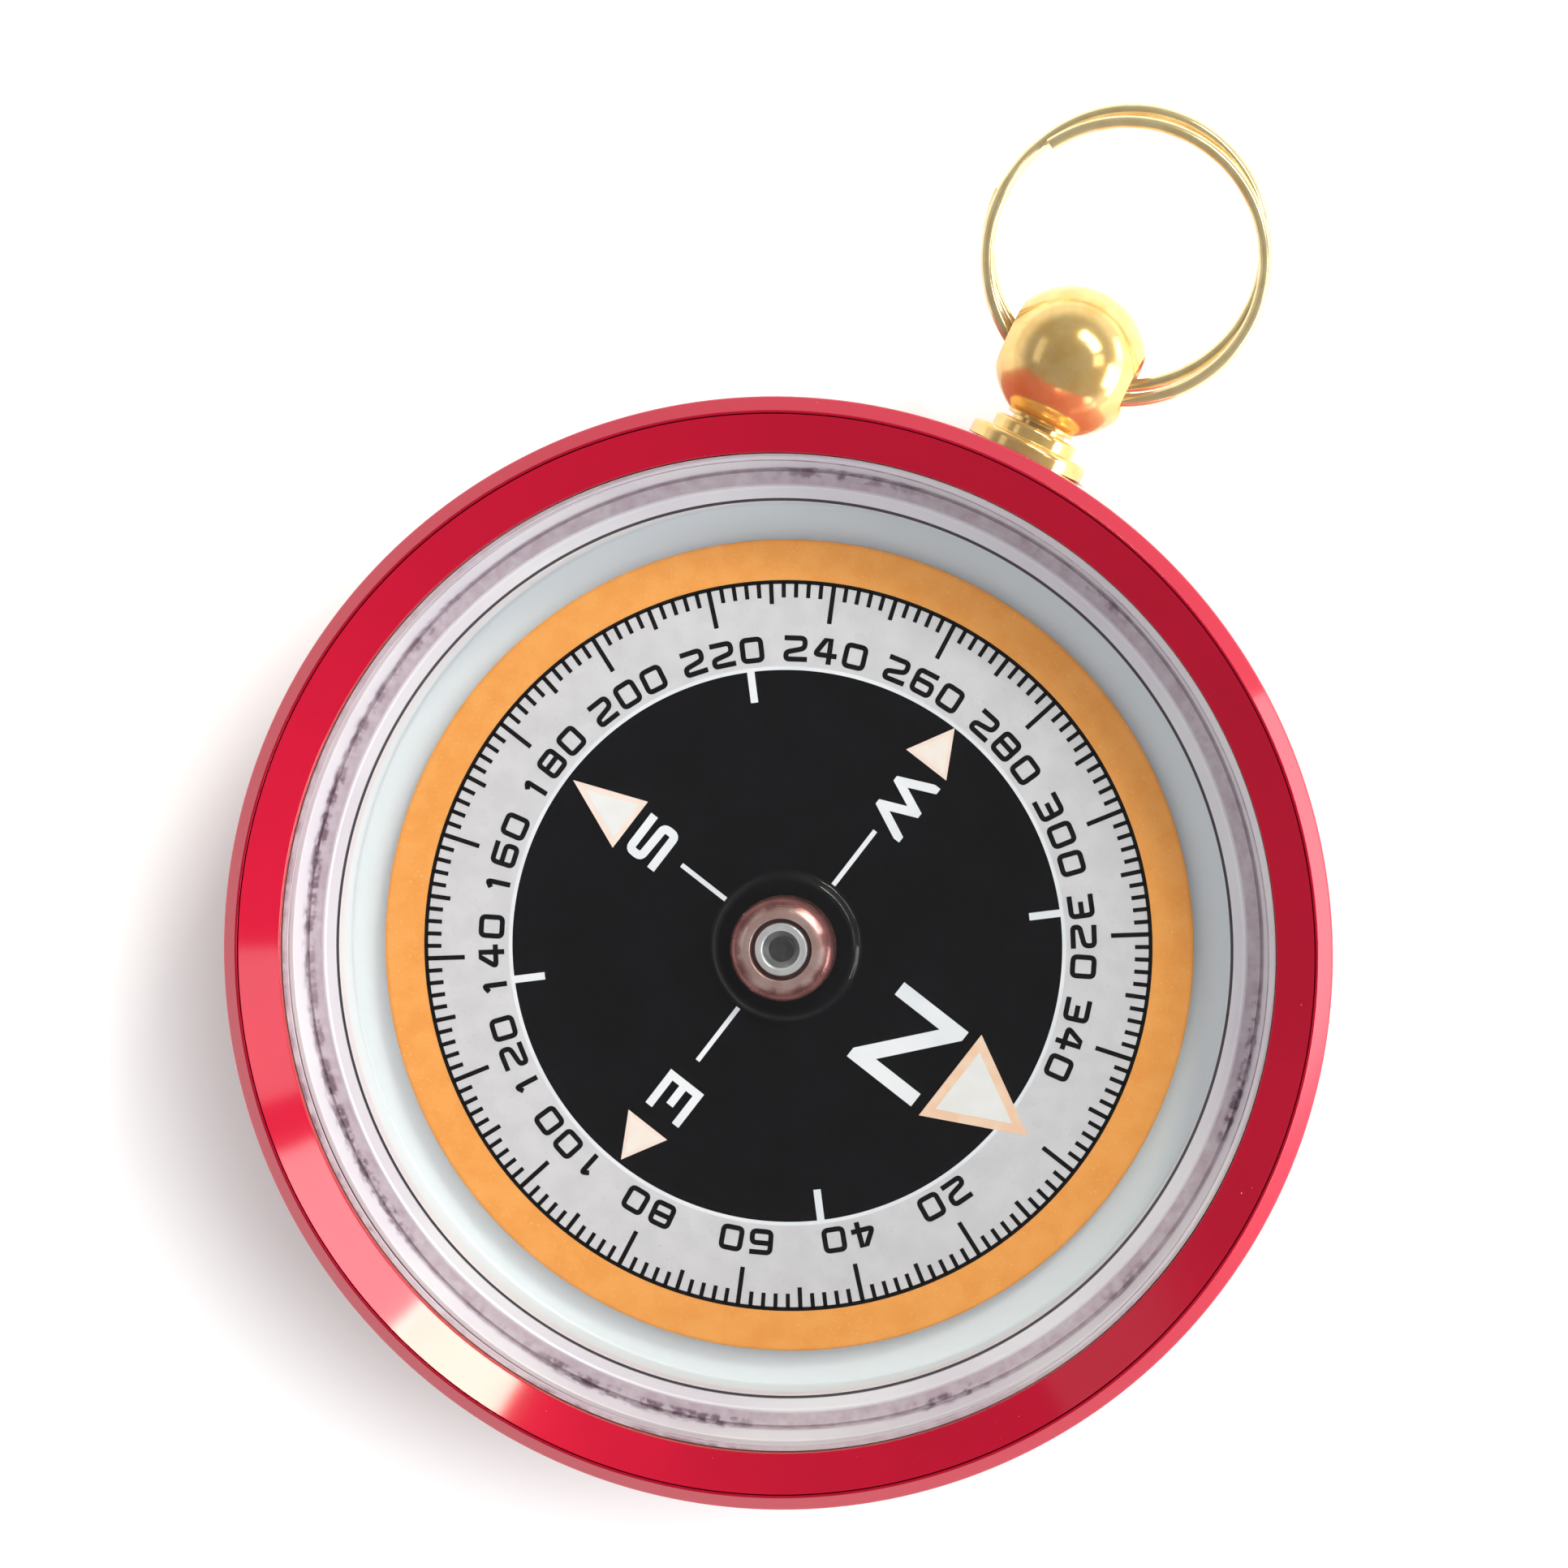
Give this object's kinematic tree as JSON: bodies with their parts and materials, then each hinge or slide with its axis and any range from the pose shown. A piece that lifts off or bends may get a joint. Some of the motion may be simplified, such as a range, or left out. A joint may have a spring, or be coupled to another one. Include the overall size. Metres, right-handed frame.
{
  "type": "hiking compass",
  "caption": "Pocket-watch style hiking compass: round metal case, floating dial under a clear crystal, ball crown and swinging split ring.",
  "frame": {"origin": "middle of the case's flat back face, on the dial's axis", "axes": "+Z out of the crystal along the dial's axis, +Y towards the crown and the split ring, +X to the right seen from the front"},
  "size_m": [0.05, 0.067, 0.014],
  "materials": {
    "case_red": "red anodised, satin",
    "bezel_red": "red anodised, polished",
    "crystal_clear": "clear acrylic",
    "gasket_rubber": "black rubber",
    "ring_white": "white moulded",
    "disc_silver": "matt silver",
    "pivot_brass": "turned brass",
    "needle_steel": "polished steel",
    "dial_print": "printed card: black centre, silver scale, orange edge",
    "carrier_black": "black moulded",
    "magnet_grey": "ground magnet steel",
    "hub_copper": "turned, copper coloured",
    "setting_steel": "polished steel",
    "jewel_dark": "dark polished stone",
    "crown_gold": "polished gold plate",
    "ring_gold": "gold plated wire"
  },
  "bodies": {
    "case": {"case_body": "case_red", "bezel_ring": "bezel_red", "crystal": "crystal_clear", "crystal_gasket": "gasket_rubber", "inner_ring": "ring_white", "base_disc": "disc_silver", "pivot_base": "pivot_brass", "pivot_needle": "needle_steel", "crown_stem": "crown_gold", "crown_collar": "crown_gold"},
    "dial": {"dial_card": "dial_print", "magnet_carrier": "carrier_black", "magnet_east": "magnet_grey", "magnet_west": "magnet_grey", "dial_hub": "hub_copper", "jewel_setting": "setting_steel", "pivot_jewel": "jewel_dark", "hub_collar": "pivot_brass"},
    "ring": {"split_ring": "ring_gold"}
  },
  "joints": [
    {"name": "dial_turn", "type": "hinge", "parent": "case", "child": "dial", "pos_m": [0, 0, 0.0084], "axis": [0, 0, 1], "continuous": true},
    {"name": "ring_swing", "type": "hinge", "parent": "case", "child": "ring", "pos_m": [0, 0.02971, 0.007], "axis": [1, 0, 0], "range_deg": [-120, 120]}
  ]
}
